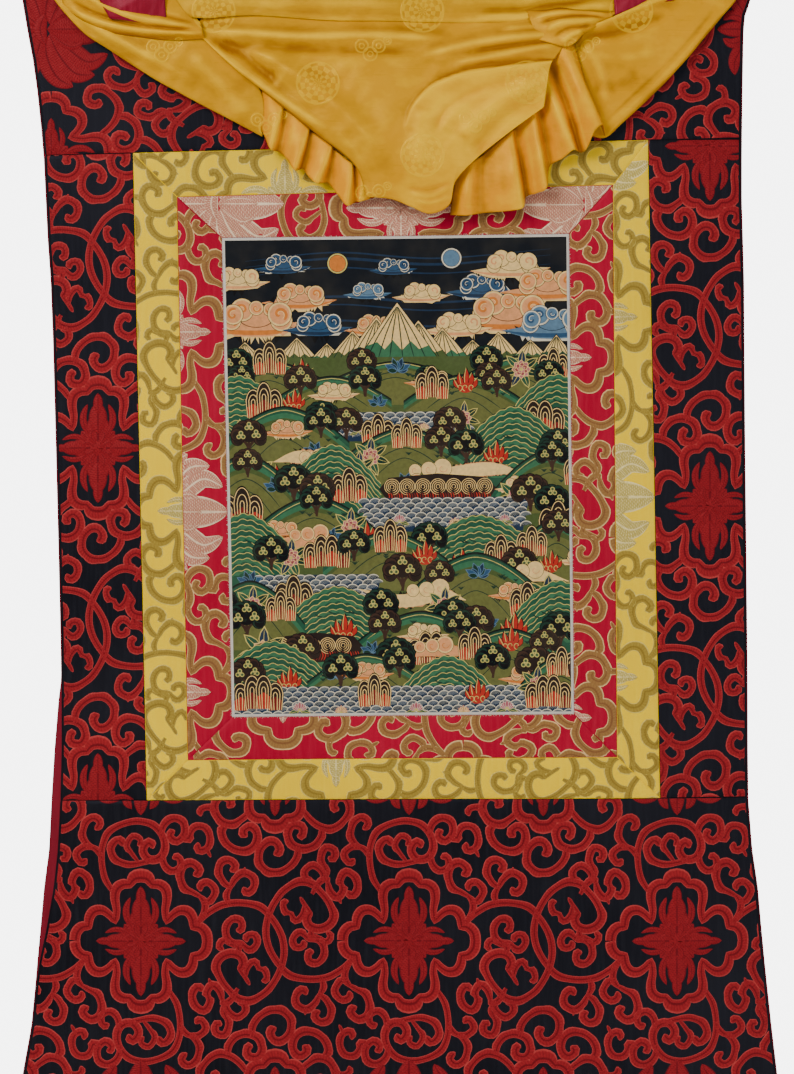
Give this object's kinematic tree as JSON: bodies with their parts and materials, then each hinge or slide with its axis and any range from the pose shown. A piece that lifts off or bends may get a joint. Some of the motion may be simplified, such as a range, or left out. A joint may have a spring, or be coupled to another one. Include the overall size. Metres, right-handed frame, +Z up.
{
  "type": "hanging scroll painting in a brocade mount",
  "caption": "Tall painted cloth in crimson and yellow brocade frames and a black brocade mount with red scrollwork, under a gathered yellow silk veil with crimson ribbons.",
  "frame": {"origin": "middle of the hanging edge at the top, on the flat that the cloth hangs in", "axes": "+Z up along the hanging cloth, -Y out of the painted front, +X to the right of someone who looks at the front"},
  "size_m": [0.782, 0.0439, 1.24],
  "materials": {
    "brocade_black": "black satin brocade with raised red scrollwork",
    "brocade_yellow": "yellow silk brocade with olive scrollwork",
    "brocade_red": "crimson silk brocade with brown-gold scrollwork and pale flowers",
    "canvas": "matt painted cotton cloth with a bare white margin",
    "veil_silk": "soft yellow silk with tone-on-tone woven ornament",
    "ribbon_silk": "smooth crimson silk",
    "lining_cloth": "matt maroon lining cloth"
  },
  "bodies": {
    "root": {"lining": "lining_cloth", "painting": "canvas", "panel_foot": "brocade_black", "panel_left": "brocade_black", "panel_right": "brocade_black", "panel_top": "brocade_black", "red_foot": "brocade_red", "red_left": "brocade_red", "red_right": "brocade_red", "red_top": "brocade_red", "ribbon_left": "ribbon_silk", "ribbon_right": "ribbon_silk", "veil": "veil_silk", "yellow_foot": "brocade_yellow", "yellow_left": "brocade_yellow", "yellow_right": "brocade_yellow", "yellow_top": "brocade_yellow"}
  },
  "joints": []
}
